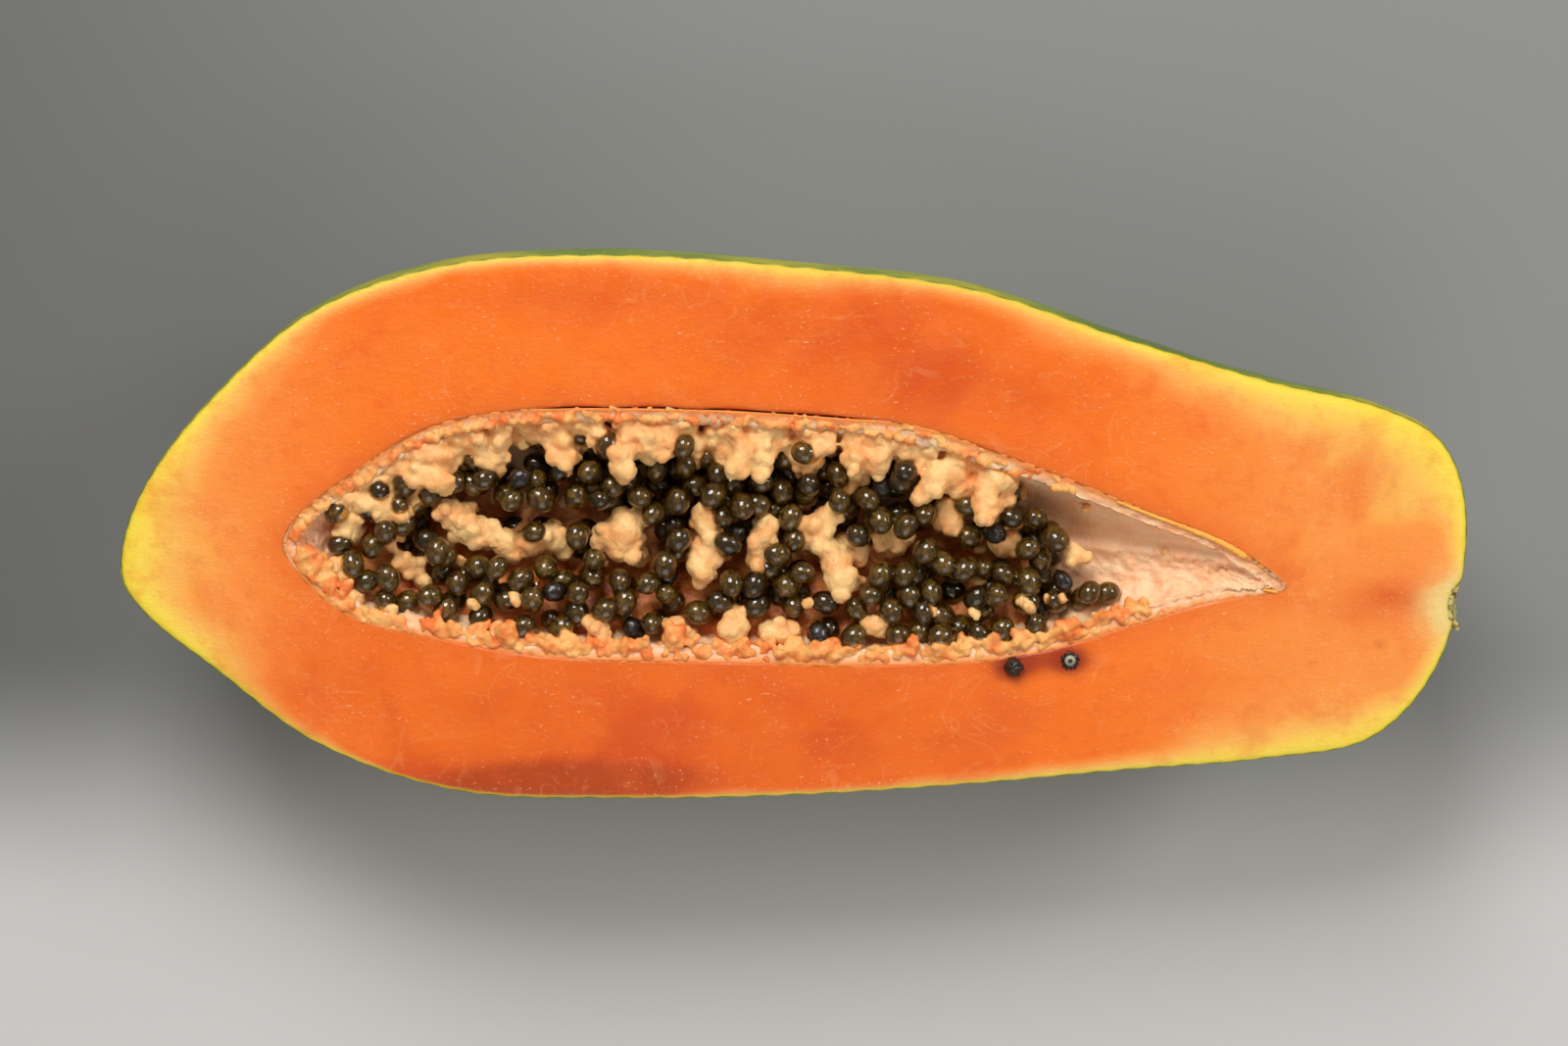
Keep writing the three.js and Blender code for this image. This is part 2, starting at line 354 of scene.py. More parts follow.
def cut_flesh():
    material, tree, shader, place = finish(
        "papaya_flesh", IOR=1.4, Subsurface_Weight=0.35, Subsurface_Scale=0.004,
        Subsurface_Radius=(1, 0.45, 0.15), Coat_Weight=0.1, Coat_Roughness=0.2,
    )
    ripe, skin, core, stem, deep, stain = (
        attribute(tree, name) for name in ("ripe", "skin", "core", "stem", "deep", "stain")
    )
    drift = grain(tree, place, 22, detail=2)
    wavering = spread(tree, drift, 0.3, 0.7, 0.3, 0.52)
    color = ramp(tree, times(tree, ripe, wavering), [
        (0.0, tone(246, 220, 58)),
        (0.12, tone(253, 217, 84)),
        (0.36, tone(255, 184, 88)),
        (0.6, tone(255, 155, 64)),
        (0.84, tone(254, 132, 38)),
        (1.0, tone(250, 122, 24)),
    ])
    along = node(tree, "SeparateXYZ", {0: place}).outputs[0]
    color = paint(tree, spread(tree, along, 62, 125, 0, 0.75), color, tone(254, 156, 72), "LIGHTEN")
    color = paint(tree, spread(tree, along, -130, -92, 0.6, 0), color, tone(254, 154, 72), "LIGHTEN")
    clouds = grain(tree, place, 26, detail=4, warp=0.6)
    patchy = spread(tree, clouds, 0.3, 0.7, 0.45, 1.1)
    # Deeper orange patches, with the painted shade strip along the -Y edge among them. Where the spots
    # are strongest, mostly on that strip, a darker painted shade goes over them.
    color = paint(tree, times(tree, deep, patchy), color, tone(220, 84, 16))
    color = paint(tree, spread(tree, deep, 1.1, 2.1, 0, 0.6), color, tone(158, 60, 10))
    color = paint(tree, spread(tree, clouds, 0.5, 0.75, 0, 0.5), color, tone(232, 100, 30))
    color = paint(tree, spread(tree, core, 0, 8, 0.4, 0), color, tone(226, 96, 28))
    fibres = grain(tree, place, 3.2, detail=5, rough=0.7, stretch=(0.35, 1, 1), warp=1.2)
    color = paint(tree, spread(tree, fibres, 0.56, 0.74, 0, 0.22), color, tone(254, 172, 100))
    mottle = grain(tree, place, 5, detail=4, rough=0.6)
    color = paint(tree, spread(tree, mottle, 0.5, 0.75, 0, 0.25), color, tone(222, 84, 22))
    winding = grain(tree, place, 19, detail=2, warp=1.6)
    vein = node(tree, "Math", {0: winding, 1: 0.5, 2: 0.014}, operation="COMPARE").outputs[0]
    here = spread(tree, grain(tree, place, 13), 0.45, 0.65, 0, 0.11)
    color = paint(tree, times(tree, vein, here), color, tone(255, 190, 128))
    flecks = grain(tree, place, 0.7, detail=2, stretch=(0.6, 1, 1))
    patches = spread(tree, grain(tree, place, 9), 0.42, 0.6)
    glints = times(tree, spread(tree, flecks, 0.62, 0.72, 0, 0.5), patches)
    color = paint(tree, glints, color, tone(255, 190, 140))
    pale_core = times(tree, stem, spread(tree, grain(tree, place, 4), 0.3, 0.6, 0.8, 1.3))
    color = paint(tree, spread(tree, pale_core, 0, 1, 0, 0.95), color, tone(243, 212, 134))
    color = paint(tree, spread(tree, stain, 0.05, 1, 0, 0.9), color, tone(158, 44, 8))
    color = paint(tree, spread(tree, skin, 0.25, 1.1, 0.7, 0), color, tone(206, 190, 34))
    color = paint(tree, spread(tree, skin, 0.12, 0.5, 1, 0), color, tone(92, 108, 20))
    tree.links.new(color, shader.inputs["Base Color"])
    wet = grain(tree, place, 7, detail=3)
    tree.links.new(spread(tree, wet, 0.35, 0.65, 0.36, 0.58), shader.inputs["Roughness"])
    bump(tree, shader, (grain(tree, place, 2.4, detail=4), 0.2), (fibres, 0.1), (flecks, 0.14))
    return material


def rind():
    material, tree, shader, place = finish(
        "papaya_rind", Roughness=0.38, IOR=1.45, Coat_Weight=0.15, Coat_Roughness=0.3,
        Subsurface_Weight=0.08, Subsurface_Scale=0.003,
    )
    along = node(tree, "SeparateXYZ", {0: place}).outputs[0]
    green = ramp(tree, grain(tree, place, 26, detail=4, stretch=(0.5, 1, 1)), [
        (0.3, tone(80, 104, 16)),
        (0.5, tone(124, 142, 22)),
        (0.64, tone(184, 174, 30)),
        (0.8, tone(222, 180, 40)),
    ])
    tip = spread(tree, along, -150, -95, 1, 0)
    stem_end = spread(tree, along, 112, 150, 0, 0.8)
    ripe = node(tree, "Math", {0: tip, 1: stem_end}, operation="MAXIMUM").outputs[0]
    ripe = times(tree, ripe, spread(tree, grain(tree, place, 14, detail=3), 0.3, 0.6, 0.45, 1))
    color = paint(tree, ripe, green, tone(220, 196, 40))
    speckle = node(tree, "TexVoronoi", {"Vector": place, "Scale": 0.55, "Randomness": 1})
    dots = spread(tree, speckle.outputs["Distance"], 0.1, 0.2, 0.55, 0)
    color = paint(tree, dots, color, tone(206, 200, 92))
    scuffs = grain(tree, place, 7, detail=6, rough=0.75, stretch=(0.25, 1, 1), warp=0.5)
    color = paint(tree, spread(tree, scuffs, 0.66, 0.76, 0, 0.7), color, tone(134, 96, 46))
    tree.links.new(color, shader.inputs["Base Color"])
    pores = grain(tree, place, 0.9, detail=2)
    bump(tree, shader, (grain(tree, place, 5, detail=4), 0.25), (dots, 0.06), (pores, 0.04))
    return material


settle(flesh, "papaya_flesh", [cut_flesh(), rind()], replaces="flesh")

# ---- pulp lining -----------------------------------------------------------------------------
# A layer of soft peach pulp lines the seed cavity and ends at its rim in a pale, crumbly band. Its
# wall is crinkled like coral, but smooth on the +Y side of the stem end, above a ridge.

GAP = 0.3
LINING = 2.4
RIM_UNDER = 0.6  # how far its rim reaches into the flesh where it hasn't come away
SMOOTH_WALL = {"from_x": 42, "to_x": 60, "ridge_y": -5.4, "ridge_fall": 0.045}


def ridge_y(x):
    return SMOOTH_WALL["ridge_y"] - SMOOTH_WALL["ridge_fall"] * (x - SMOOTH_WALL["to_x"])


def crinkle(place, size):
    """Folds that meet in sharp valleys, from 0 to about 1."""
    return abs(noise.turbulence(place / size, 3, True, noise_basis="PERLIN_ORIGINAL"))


lining = thick_bowl(rings=300, sides=70, across=6)
edge_layer = lining.verts.layers.float.new("edge")
for vert in lining.verts:
    angle, turn, layer, in_mouth = bowl_place(vert.co)
    if in_mouth:
        torn = crack_open(angle)
        inner = rim_point(CAVITY_EDGE, angle, GAP + LINING)
        outer = rim_point(CAVITY_EDGE, angle, (RIM_UNDER + GAP) * torn - RIM_UNDER)
        place = inner.lerp(outer, layer)
        ragged = noise.noise_vector(place / 2.2) * 0.9 + noise.noise_vector(place / 0.9) * 0.4
        place += Vector((ragged.x, ragged.y, 0)) * (1 - layer)
        loose = 1 - layer ** 3 * (1 - torn)
        place.z = -0.22 + 0.2 * loose + 1.1 * (crinkle(place, 2.6) - 0.4) * loose - 0.9 * (1 - layer)
        place.z += 0.22 * (1 - torn) * math.exp(-(((layer - 0.83) / 0.12) ** 2))
        vert.co = place
        vert[edge_layer] = layer
        continue
    if layer > 0.5:
        vert.co = cavity_point(GAP, angle, turn)
        continue
    wall = cavity_point(GAP + LINING, angle, turn)
    stem_side = smooth(SMOOTH_WALL["from_x"], SMOOTH_WALL["to_x"], wall.x)
    above_ridge = smooth(-1.5, 1.5, wall.y - ridge_y(wall.x))
    calm = stem_side * above_ridge
    upright = Vector((1.5 * wall.x, 0.8 * wall.y, 0.8 * wall.z))
    folds = (1.8 * crinkle(upright, 3.6) + 0.9 * crinkle(upright, 1.5)) * (1 - 0.88 * calm)
    ridge = 0.9 * stem_side * math.exp(-(((wall.y - ridge_y(wall.x)) / 0.9) ** 2))
    ridge += 0.35 * calm * math.exp(-(((wall.y - ridge_y(wall.x) - 3.2) / 0.5) ** 2))
    vert.co = cavity_point(GAP + LINING, angle, turn, folds + ridge - 0.4)


def pulp(name, deep, pale, mottled=0.6, edge=None):
    material, tree, shader, place = finish(
        name, Roughness=0.5, IOR=1.38, Subsurface_Weight=0.4, Subsurface_Scale=0.0013,
        Subsurface_Radius=(1, 0.6, 0.35), Coat_Weight=0.12, Coat_Roughness=0.25,
    )
    soft = grain(tree, place, 6, detail=3)
    color = paint(tree, spread(tree, soft, 0.35, 0.65, 0, mottled), pale, deep)
    flakes = grain(tree, place, 1.6, detail=3)
    color = paint(tree, spread(tree, flakes, 0.56, 0.72, 0, 0.4), color, tone(254, 182, 88))
    if edge:
        color = paint(tree, spread(tree, attribute(tree, "edge"), 0.2, 0.85), color, edge)
    tree.links.new(color, shader.inputs["Base Color"])
    fine = grain(tree, place, 0.55, detail=3)
    bump(tree, shader, (grain(tree, place, 1.5, detail=3), 0.34), (fine, 0.14))
    return material


lining_pulp = pulp(
    "pulp_lining", tone(250, 178, 128), tone(255, 208, 164), edge=tone(250, 144, 62)
)
settle(lining, "lining_wall", [lining_pulp], replaces="pulp_lining")

# ---- seed bed core ---------------------------------------------------------------------------
# Under the seeds lies a wet mass of broken pulp and juice, which shows dark between them.

BED = {"floor_cover": 8.5, "rim_drop": 3.2}
# How far the core lies below the top of the heap, and where it falls away to the stem end.
CORE = {"drop": 4.6, "falls_from": 52, "falls_to": 80, "fall": 14}


def cavity_section(x, inset=0):
    along = (CAVITY_EDGE["middle"] - x) / (CAVITY_EDGE["reach"] - inset)
    return section(CAVITY_EDGE, math.acos(min(max(along, -1), 1)), inset)


def bed_top(x, y):
    _, centre, half = cavity_section(x)
    across = (y - centre) / max(half, 1)
    climb = smooth(-0.15, 0.8, -across)
    low = min(BED["floor_cover"] - half * CAVITY_DEPTH, -BED["rim_drop"])
    return low + (-BED["rim_drop"] - low) * climb


core = bmesh.new()
bmesh.ops.create_uvsphere(
    core, u_segments=48, v_segments=120, radius=1, matrix=Matrix.Rotation(math.pi / 2, 4, "Y")
)
for vert in core.verts:
    angle, turn, _, _ = bowl_place(vert.co)
    angle = min(angle, math.tau - angle)
    wall = cavity_point(LINING + 1.2, angle, abs(turn))
    top = bed_top(wall.x, wall.y) - CORE["drop"] + 1.2 * noise.noise(wall / 4)
    top -= CORE["fall"] * smooth(CORE["falls_from"], CORE["falls_to"], wall.x)
    if turn < 0:
        wall.z = max(top, wall.z)
    wall.z = min(wall.z, top)
    vert.co = wall
bmesh.ops.recalc_face_normals(core, faces=core.faces)


def wet_core():
    material, tree, shader, place = finish("wet_core", Roughness=0.3, IOR=1.36)
    color = ramp(tree, grain(tree, place, 5, detail=4), [
        (0.35, tone(160, 74, 24)),
        (0.5, tone(218, 118, 48)),
        (0.66, tone(244, 164, 92)),
    ])
    tree.links.new(color, shader.inputs["Base Color"])
    bump(tree, shader, (grain(tree, place, 1.8, detail=3), 0.7))
    return material


settle(core, "seed_bed_core", [wet_core()], replaces="seed_bed")

# ---- pulp lobes and clumps -------------------------------------------------------------------
# Knobbly fingers of pulp that held the seeds hang from the +Y rim. Loose clumps of them lie among
# the seeds, and the -Y rim is a torn ridge of crumbs.

# Angles of the rim between which the lobes hang, how many millimetres apart, and how many more
# hang in a second row behind them.
FRINGE = {"from": 0.42, "to": 2.1, "apart": 4.9, "behind": 40}
CLUMPS_RISE = 2.2  # how far the clumps stand out of the seeds
# x, y, depth of the seeds round it, length, girth, direction across the fruit in degrees
CLUMPS = [
    (-99, 7, 3.5, 13, 2.6, -85), (-102, -9, 3, 7, 2.6, -60), (-88, -8, 6, 5, 2.3, -50),
    (-78, 3, 6, 6, 2.8, -20), (-74, -1, 5.5, 7, 3, -30), (-66, -3, 7, 3, 2.8, -60),
    (-60, -5, 8, 3, 2.6, 0), (-55, -2, 7, 5, 3, -60), (-43, -4, 6, 8, 3.4, 32),
    (-39, -5, 6.5, 4, 3, -20), (-20, 2, 5, 6, 2.9, -70), (-19, -5, 4.5, 7, 3, -125),
    (-6.5, -1, 5, 8, 2.7, -112), (7.5, 1.5, 5, 6, 2.8, -125), (6, -3, 4.5, 4, 2.6, -60),
    (9, -6, 3.5, 10, 2.8, -82), (20, -3, 7, 5, 3, -20), (15, -6, 7.5, 5, 2.6, 190),
    (-66, -24, 1.5, 5, 2.6, -90), (-45, -22, 2.5, 4, 2.2, -60), (-27, -23, 1.5, 7, 2.5, -20),
    (-13, -20, 1.5, 6, 2.6, -85), (-6, -24, 1.2, 6, 2.3, 10), (17, -22, 2.5, 4, 2.2, 0),
    (34, 4, 7, 5, 2.4, -60), (46, -4, 8, 4, 2.4, -30), (62, -6, 5, 4, 2, -20),
    (84, -8, 8, 3, 1.3, 80),
]
# Small bits of pulp between the seeds, and where they lie.
SCRAPS = {"count": 44, "x": (-96, 70), "y": (-20, 8)}
# The crumbs of the torn rim, and the knobs of the other one: how many, and from which angle to which.
TORN_RIM = {"count": 250, "from": math.pi + 0.7, "to": math.tau - 0.1}
KNOBBY_RIM = {"count": 420, "from": 0.04, "to": 2.2}


def knob(lumps, centre, size, dice):
    """One rounded lump, a little uneven."""
    scale = Matrix.Diagonal([size * dice.uniform(0.82, 1.15) for _ in range(3)] + [1])
    turned = Euler([dice.uniform(0, math.tau) for _ in range(3)]).to_matrix().to_4x4()
    lumps.append(Matrix.Translation(centre) @ turned @ scale)


def any_way(dice):
    return Vector([dice.uniform(-1, 1) for _ in range(3)]).normalized()


def finger(lumps, start, way, length, girth, dice):
    """A chain of lumps that wanders, swells towards its tip and grows small knobs all over."""
    place = start.copy()
    way = way.normalized()
    gone = 0
    while gone < length:
        size = girth * (0.8 + 0.25 * gone / length + dice.uniform(-0.1, 0.1))
        knob(lumps, place, size, dice)
        for _ in range(5):
            aside = place + any_way(dice) * size * 0.88
            knob(lumps, aside, size * dice.uniform(0.38, 0.72), dice)
        way = (way + any_way(dice) * 0.35).normalized()
        place = place + way * size * 0.8
        gone += size * 0.8
    for _ in range(2):
        knob(lumps, place + any_way(dice) * girth * 0.5, girth * dice.uniform(0.5, 0.75), dice)


def inward(angle, aside, down):
    """The way from the cavity's rim to its middle, turned aside and tilted down."""
    way = rim_point(CAVITY_EDGE, angle, 4) - rim_point(CAVITY_EDGE, angle)
    way = Matrix.Rotation(aside, 3, "Z") @ way.normalized()
    way.z = -down
    return way


def copies(model, matrices):
    """A mesh of many copies of a small shape, one for each matrix."""
    points = np.array([v.co for v in model.verts])
    faces = [[v.index for v in f.verts] for f in model.faces]
    model.free()
    placed = [points @ np.array(m.to_3x3()).T + np.array(m.translation) for m in matrices]
    joined = bpy.data.meshes.new("copies")
    joined.from_pydata(
        np.concatenate(placed).tolist(), [],
        [[i + k * len(points) for i in f] for k in range(len(matrices)) for f in faces],
    )
    return joined


def grown_together(lumps, voxel, relief):
    """Many overlapping lumps made one soft skin, with a fine uneven surface."""
    model = bmesh.new()
    bmesh.ops.create_icosphere(model, subdivisions=2, radius=1)
    loose = bpy.data.objects.new("lumps", copies(model, lumps))
    bpy.context.scene.collection.objects.link(loose)
    remesh = loose.modifiers.new("skin", "REMESH")
    remesh.mode, remesh.voxel_size = "VOXEL", voxel
    depsgraph = bpy.context.evaluated_depsgraph_get()
    skin = bpy.data.meshes.new_from_object(loose.evaluated_get(depsgraph))
    bpy.data.objects.remove(loose)
    grown = bmesh.new()
    grown.from_mesh(skin)
    bmesh.ops.smooth_vert(grown, verts=grown.verts, factor=0.6)
    grown.normal_update()
    for vert in grown.verts:
        height = relief * (crinkle(vert.co, 1.7) - 0.35) + 0.5 * relief * noise.noise(vert.co / 0.7)
        vert.co += vert.normal * height
    return grown


dice = random.Random(7)
lobes = []
angle = FRINGE["from"]
while angle < FRINGE["to"]:
    for _ in range(dice.choice((1, 1, 2))):
        big = dice.random()
        girth = 2.1 + big
        aside = dice.uniform(-0.015, 0.015)
        start = rim_point(CAVITY_EDGE, angle + aside, 0.8 + 1.1 * girth)
        start.z = -1.15 * girth - dice.uniform(0, 1.4)
        way = inward(angle, dice.uniform(-0.45, 0.45), dice.uniform(0.05, 0.5))
        finger(lobes, start, way, 6 + 6.5 * big, girth, dice)
    angle += FRINGE["apart"] * dice.uniform(0.75, 1.25) / (CAVITY_EDGE["reach"] * math.sin(angle))
# A second row hangs deeper, behind the first.
for i in range(FRINGE["behind"]):
    share = (i + dice.random()) / FRINGE["behind"]
    angle = FRINGE["from"] + (FRINGE["to"] - FRINGE["from"]) * share
    start = rim_point(CAVITY_EDGE, angle, 3.4)
    start.z = -dice.uniform(6.5, 11)
    finger(lobes, start, inward(angle, dice.uniform(-0.4, 0.4), 0.3), 4 + 5 * dice.random(), 2.3, dice)
lobe_pulp = pulp("lobe_pulp", tone(245, 154, 84), tone(255, 204, 136))
settle(grown_together(lobes, voxel=0.55, relief=0.35), "hanging_lobes", [lobe_pulp])

clumps = []
for x, y, drop, length, girth, heading in CLUMPS:
    turn = math.radians(heading)
    start = Vector((x, y, -max(drop - CLUMPS_RISE, 0.6) - 1.35 * girth))
    way = Vector((math.cos(turn), math.sin(turn), -0.12))
    finger(clumps, start, way, 0.85 * length, 1.22 * girth, dice)
for _ in range(SCRAPS["count"]):
    x, y = dice.uniform(*SCRAPS["x"]), dice.uniform(*SCRAPS["y"])
    place = Vector((x, y, min(bed_top(x, y) + dice.uniform(1, 3), -1.6)))
    finger(clumps, place, any_way(dice), dice.uniform(0.5, 2), dice.uniform(1, 1.5), dice)
settle(grown_together(clumps, voxel=0.5, relief=0.35), "pulp_clumps", [lobe_pulp])

crumbs = []
for i in range(TORN_RIM["count"]):
    share = (i + dice.random()) / TORN_RIM["count"]
    angle = TORN_RIM["from"] + (TORN_RIM["to"] - TORN_RIM["from"]) * share
    inset = dice.uniform(0.1, 4)
    start = rim_point(CAVITY_EDGE, angle, inset)
    start.z = -0.5 - 0.5 * inset * dice.random()
    way = inward(angle, dice.uniform(-1.3, 1.3), dice.uniform(-0.5, 0.7))
    girth = min(0.5 + 0.45 * inset, dice.choice((0.7, 0.9, 1.1, 1.4, 2)))
    finger(crumbs, start, way, 0.4 + 0.8 * inset * dice.random(), girth, dice)
for i in range(KNOBBY_RIM["count"]):
    inset = dice.uniform(0.2, 3.2)
    share = (i + dice.random()) / KNOBBY_RIM["count"]
    angle = KNOBBY_RIM["from"] + (KNOBBY_RIM["to"] - KNOBBY_RIM["from"]) * share
    place = rim_point(CAVITY_EDGE, angle, inset)
    place.z = -dice.uniform(0.3, 1.6)
    knob(crumbs, place, dice.uniform(0.4, 0.7 + 0.2 * inset), dice)
torn_pulp = pulp("torn_pulp", tone(236, 108, 34), tone(252, 184, 106), mottled=0.85)
settle(grown_together(crumbs, voxel=0.42, relief=0.3), "torn_rim", [torn_pulp])

# ---- seeds -----------------------------------------------------------------------------------
# Each seed is a dark wrinkled kernel in its own sac of clear olive-brown gel. They lie one over
# another on the floor of the cavity and pile up against its -Y side. Some have lost their gel.

SEED = {"radius": 2.6, "long": 1.2, "kernel": 0.78, "bare_share": 0.07, "stripped": 0.86}
SEED_TRIES = 12  # places tried for each one, of which it takes the lowest
# Where seeds may lie: below the rim and the lobes, and short of a line across the stem end.
HEAP = {"x": (-102, 76), "top": -1.9, "lobes_y": 6, "far_y": 21, "narrows_x": 38}
# How many seeds slid together each way: most against the -Y side, the others under the lobes.
PILES = [(420, (0, -0.68, -0.733)), (130, (0, 0.45, -0.893))]
HANGING_SEEDS = [(-41.3, 18.3, -3), (-24.5, 18.3, -3), (2.7, 16.8, -2.9), (25.2, 12.6, -2.9)]
BARE_FLOOR = {"from_x": -84, "to_x": -43, "from_y": -1.5, "to_y": 6}


def open_to_seeds(place):
    """Whether a seed may lie there: not past the stem end of the bed, nor up among the lobes."""
    if place.z > HEAP["top"] - 0.45 * max(place.y - HEAP["lobes_y"], 0):
        return False
    if not HEAP["x"][0] < place.x < HEAP["x"][1]:
        return False
    if BARE_FLOOR["from_x"] < place.x < BARE_FLOOR["to_x"]:
        if BARE_FLOOR["from_y"] < place.y < BARE_FLOOR["to_y"]:
            return False
    return place.y < HEAP["far_y"] - 1.1 * max(place.x - HEAP["narrows_x"], 0)


def slide_down(start, way, lying):
    """Where a seed that goes this way comes to rest, on the wall or on the seeds there."""
    _, centre, half = cavity_section(start.x, GAP + LINING)
    room = half - SEED["radius"] - 0.4
    to_axis = Vector((0, start.y - centre, start.z))
    b = to_axis.dot(way)
    inside = b * b - to_axis.length_squared + room * room
    if room <= 0 or inside <= 0:
        return None
    reach = -b + math.sqrt(inside)
    touch = (2 * SEED["radius"]) ** 2
    for other, size in lying:
        if abs(other.x - start.x) > 2 * SEED["radius"] * size:
            continue
        gap = start - other
        b = gap.dot(way)
        inside = b * b - gap.length_squared + touch * ((1 + size) / 2) ** 2
        if inside > 0:
            reach = min(reach, -b - math.sqrt(inside))
    return start + way * reach


dice = random.Random(23)
lying = []
for x, y, drop, length, girth, heading in CLUMPS:
    turn = math.radians(heading)
    for share in (0.1, 0.5, 0.9):
        ahead = Vector((math.cos(turn), math.sin(turn), -0.12)) * length * share
        lying.append((Vector((x, y, -drop - girth - 0.6)) + ahead, 1.1 * girth / SEED["radius"]))
clump_parts = list(lying)


def covers_clump(place):
    """Whether a seed hides the middle of a clump from above."""
    return any(
        (part - place).xy.length < 0.6 * SEED["radius"] * (1 + size) and place.z > part.z
        for part, size in clump_parts
    )


seeds = [Vector(place) for place in HANGING_SEEDS]
for count, way in PILES:
    way = Vector(way)
    beside = Vector((0, way.z, -way.y))
    for _ in range(count):
        found = []
        for _ in range(SEED_TRIES):
            start = Vector((dice.uniform(*HEAP["x"]), 0, 0)) + beside * dice.uniform(-30, 30)
            place = slide_down(start - way * 60, way, lying)
            if place is not None and open_to_seeds(place):
                found.append(place)
        if found:
            seeds.append(max(found, key=way.dot))
            lying.append((seeds[-1], 1))
seeds = [place for place in seeds if not covers_clump(place)]


def seed_shapes(matrices, tints, segments, rings, pleats):
    """Copies of a ball, each with its own tint, whose surface is drawn in by pleats."""
    model = bmesh.new()
    bmesh.ops.create_uvsphere(model, u_segments=segments, v_segments=rings, radius=1)
    count = len(model.verts)
    shape = bmesh.new()
    shape.from_mesh(copies(model, matrices))
    shape.verts.ensure_lookup_table()
    tint = shape.verts.layers.float.new("tint")
    for k, matrix in enumerate(matrices):
        centre = matrix.translation
        for vert in shape.verts[k * count:(k + 1) * count]:
            vert[tint] = tints[k]
            if pleats:
                drawn = pleats * (crinkle(vert.co + centre, 1.1) - 0.4)
                vert.co += (vert.co - centre).normalized() * drawn
    return shape


coated, naked = [], []
for place in seeds:
    size = SEED["radius"] * dice.uniform(0.93, 1.12)
    turned = Euler([dice.uniform(0, math.tau) for _ in range(3)]).to_matrix().to_4x4()
    egg = Matrix.Diagonal([size, size * dice.uniform(0.96, 1.04), size * SEED["long"], 1])
    matrix = Matrix.Translation(place) @ turned @ egg
    (naked if dice.random() < SEED["bare_share"] else coated).append(matrix)
tints = [dice.random() for _ in seeds]
inside = [m @ Matrix.Diagonal((SEED["kernel"],) * 3 + (1,)) for m in coated]
sacs = seed_shapes(coated, tints, 12, 8, 0)
kernels = seed_shapes(inside, tints, 10, 7, 0.3)
stripped = [m @ Matrix.Diagonal((SEED["stripped"],) * 3 + (1,)) for m in naked]
bare = seed_shapes(stripped, tints, 16, 12, 0.75)


def gel():
    material, tree, shader, place = finish(
        "seed_gel", Roughness=0.04, IOR=1.36, Transmission_Weight=1.0, Specular_IOR_Level=0.6,
        Coat_Weight=0.8, Coat_IOR=1.5, Coat_Roughness=0.03,
    )
    color = ramp(tree, attribute(tree, "tint"), [
        (0.0, tone(206, 176, 96)),
        (0.5, tone(232, 202, 118)),
        (1.0, tone(248, 224, 146)),
    ])
    tree.links.new(color, shader.inputs["Base Color"])
    bump(tree, shader, (grain(tree, place, 2.6, detail=2), 0.12))
    return material


def kernel():
    material, tree, shader, place = finish("seed_kernel", Roughness=0.4, IOR=1.45)
    mottle = grain(tree, place, 1.3, detail=3)
    dark = paint(tree, spread(tree, mottle, 0.4, 0.65), tone(78, 62, 25), tone(138, 112, 52))
    shade = spread(tree, attribute(tree, "tint"), 0, 0.3, 0.7, 0)
    color = paint(tree, shade, dark, tone(26, 20, 12))
    tree.links.new(color, shader.inputs["Base Color"])
    bump(tree, shader, (grain(tree, place, 0.7, detail=3), 0.25))
    return material


def bare_seed():
    material, tree, shader, place = finish(
        "bare_seed", Roughness=0.14, IOR=1.4, Coat_Weight=0.6, Coat_Roughness=0.05,
    )
    color = paint(tree, grain(tree, place, 1.2), tone(12, 7, 4), tone(44, 29, 14))
    tree.links.new(color, shader.inputs["Base Color"])
    bump(tree, shader, (grain(tree, place, 0.8, detail=3), 0.35))
    return material


settle(sacs, "seed_gel_sacs", [gel()])
settle(kernels, "seed_kernels", [kernel()])
settle(bare, "bare_seeds", [bare_seed()])

# ---- stray seeds -----------------------------------------------------------------------------
# Two seeds were dragged onto the cut face. One is whole and dark, and the knife went through the
# other, which shows a black toothed coat round a pale ring.

STRAY = {"whole": (49.2, -31, 0.7), "cut": (61.9, -29.7), "radius": 1.95, "teeth": 12}
# The cut one's coat, pale ring and dark middle: radius, height over the cut face and material.
STRAY_DISCS = [(STRAY["radius"], 0.3, 0), (1.2, 0.42, 1), (0.5, 0.5, 0)]

strays = bmesh.new()
bmesh.ops.create_icosphere(strays, subdivisions=4, radius=1)
for vert in strays.verts:
    rough = 1 + 0.5 * (crinkle(vert.co + Vector((3, 0, 0)), 0.5) - 0.4)
    vert.co = Vector(STRAY["whole"]) + vert.co * rough * STRAY["radius"]
x, y = STRAY["cut"]
for radius, top, material in STRAY_DISCS:
    turned = bmesh.ops.create_cone(
        strays, cap_ends=True, segments=96, radius1=radius, radius2=radius, depth=1 + top,
        matrix=Matrix.Translation((x, y, (top - 1) / 2)),
    )["verts"]
    for vert in turned:
        angle = math.atan2(vert.co.y - y, vert.co.x - x)
        if material == 0 and radius > 1:
            wave = 1 + 0.12 * math.sin(STRAY["teeth"] * angle) + 0.05 * math.sin(5 * angle)
            vert.co.x, vert.co.y = x + (vert.co.x - x) * wave, y + (vert.co.y - y) * wave
    for face in {f for v in turned for f in v.link_faces}:
        face.material_index = material


def seed_meat():
    material, tree, shader, place = finish("seed_meat", Roughness=0.4, Subsurface_Weight=0.2)
    color = paint(tree, grain(tree, place, 0.8), tone(150, 140, 104), tone(206, 198, 164))
    tree.links.new(color, shader.inputs["Base Color"])
    return material


settle(strays, "stray_seeds", [bare_seed(), seed_meat()])

# ---- vessels and stem scar -------------------------------------------------------------------
# A yellow strand runs along the cavity's rim to its stem end, and a short one lies in the flesh
# there. Ragged brown and pale green cork lines the scar that the stem has left.

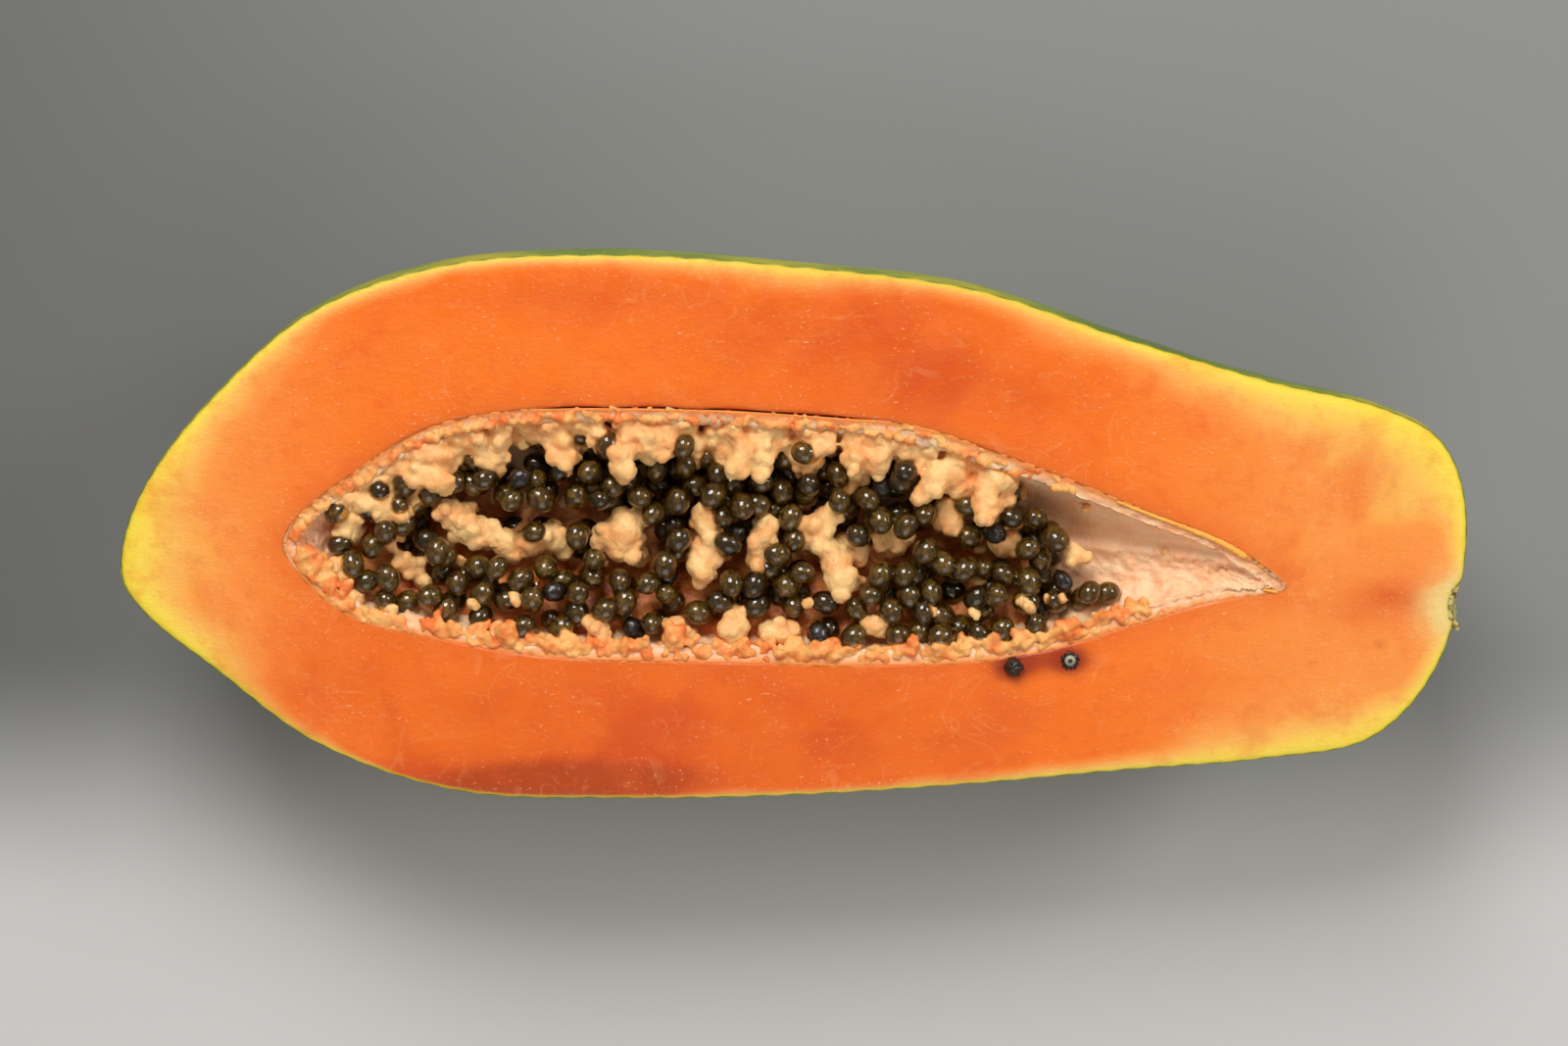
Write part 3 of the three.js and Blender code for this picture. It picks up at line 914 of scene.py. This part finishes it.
STRAND = {"from": 2.3, "to": 2.74, "lumps": 60}
SHORT_STRAND = {"x": 106.4, "y": -13.7, "long": 2.6, "lumps": 6}
CORK = {"lumps": 170, "flap": 9, "flap_x": 148.3, "flap_y": -12}

strands = []
for i in range(STRAND["lumps"]):
    share = i / (STRAND["lumps"] - 1)
    place = rim_point(CAVITY_EDGE, STRAND["from"] + (STRAND["to"] - STRAND["from"]) * share, 0.3)
    place.z = -0.15
    knob(strands, place, 0.4 + 0.45 * share, dice)
for i in range(SHORT_STRAND["lumps"]):
    share = i / (SHORT_STRAND["lumps"] - 1)
    place = Vector((SHORT_STRAND["x"] + SHORT_STRAND["long"] * (share - 0.5), SHORT_STRAND["y"], 0))
    knob(strands, place + Vector((0, -0.1 * i, -0.1)), 0.42, dice)
strand_pulp = pulp("strand", tone(252, 160, 50), tone(254, 190, 90))
settle(grown_together(strands, voxel=0.25, relief=0.06), "yellow_strands", [strand_pulp])

cork = []
for _ in range(CORK["lumps"]):
    off, turn = STEM_SCAR["radius"] * dice.uniform(0.05, 0.8), dice.uniform(-math.pi, 0)
    deep = STEM_SCAR["depth"] * math.sqrt(1 - (off / STEM_SCAR["radius"]) ** 2)
    place = Vector((STEM_SCAR["x"] - deep, STEM_SCAR["y"], 0))
    place += Vector((0, off * math.cos(turn), off * math.sin(turn) - 0.5))
    knob(cork, place, dice.uniform(0.45, 0.85), dice)
for i in range(CORK["flap"]):
    knob(cork, Vector((CORK["flap_x"] - 0.12 * i, CORK["flap_y"] - 0.35 * i, -1.2)), 0.8, dice)


def scar_cork():
    material, tree, shader, place = finish("scar_cork", Roughness=0.75)
    color = ramp(tree, grain(tree, place, 2.4, detail=4), [
        (0.34, tone(92, 62, 28)),
        (0.44, tone(158, 126, 68)),
        (0.52, tone(206, 190, 120)),
        (0.64, tone(180, 190, 104)),
    ])
    tree.links.new(color, shader.inputs["Base Color"])
    bump(tree, shader, (grain(tree, place, 0.6, detail=4), 0.3))
    return material


settle(grown_together(cork, voxel=0.35, relief=0.2), "stem_scar", [scar_cork()])

# ---- floor, light and camera -----------------------------------------------------------------
# A grey floor with painted shade towards -X and painted light towards -Y, and soft studio boxes: the
# key stands beyond the +Y side, the fill before it.

# Painted shade darkens the floor towards -X: it gets lighter from the first x to the second. Painted
# light brightens it towards -Y: it gets darker from the first y to the second.
FLOOR_PAINTED_SHADE = (-230, 20)
FLOOR_PAINTED_LIGHT = (-105, -35)

floor_mesh = bpy.data.meshes.new("floor")
sheet = bmesh.new()
bmesh.ops.create_grid(sheet, x_segments=1, y_segments=1, size=4)
sheet.to_mesh(floor_mesh)
sheet.free()


def studio_floor():
    material, tree, shader, place = finish("studio_floor", Roughness=0.6)
    place = node(tree, "SeparateXYZ", {0: place})
    # painted shade: the floor darkens towards -X
    painted_shade = spread(tree, place.outputs[0], *FLOOR_PAINTED_SHADE, 0.62, 0)
    color = paint(tree, painted_shade, tone(136, 136, 134), tone(70, 70, 68))
    # painted light: the floor gets pale towards -Y
    painted_light = spread(tree, place.outputs[1], *FLOOR_PAINTED_LIGHT, 1, 0)
    color = paint(tree, painted_light, color, tone(208, 207, 204))
    tree.links.new(color, shader.inputs["Base Color"])
    return material


floor_mesh.materials.append(studio_floor())
floor = bpy.data.objects.new("floor", floor_mesh)
bpy.context.scene.collection.objects.link(floor)


def softbox(name, place, size, watts, color=(1, 1, 1)):
    """A square light that faces the middle of the cut."""
    light = bpy.data.lights.new(name, "AREA")
    light.shape, light.size, light.energy, light.color = "SQUARE", size, watts, color
    box = bpy.data.objects.new(name, light)
    box.location = place
    box.rotation_euler = (seat - Vector(place)).to_track_quat("-Z", "Y").to_euler()
    bpy.context.scene.collection.objects.link(box)


softbox("key", (-0.25, 0.95, 0.95), 0.6, 14)
softbox("side", (0.9, 0.5, 0.7), 0.35, 4)
softbox("fill", (0.1, -0.9, 0.9), 0.9, 3.4)

world = bpy.data.worlds.new("studio")
bpy.context.scene.world = world
world.use_nodes = True
world.node_tree.nodes["Background"].inputs["Color"].default_value = (1, 0.97, 0.93, 1)
world.node_tree.nodes["Background"].inputs["Strength"].default_value = 0.27
bpy.context.scene.view_settings.view_transform = "Standard"

# The camera looks down on the cut, from a little beyond its +Y side.
LENS, SENSOR = 90, 36
VIEW_WIDTH = 0.349
LEAN = math.radians(8.5)
distance = VIEW_WIDTH * LENS / SENSOR
camera = bpy.data.objects.new("camera", bpy.data.cameras.new("camera"))
camera.data.lens, camera.data.sensor_width = LENS, SENSOR
aim = seat + Vector((-2.1, 1.4, 0)) * MM
camera.location = aim + Vector((0, math.sin(LEAN), math.cos(LEAN))) * distance
camera.rotation_euler = (-LEAN, 0, 0)
bpy.context.scene.collection.objects.link(camera)
bpy.context.scene.camera = camera
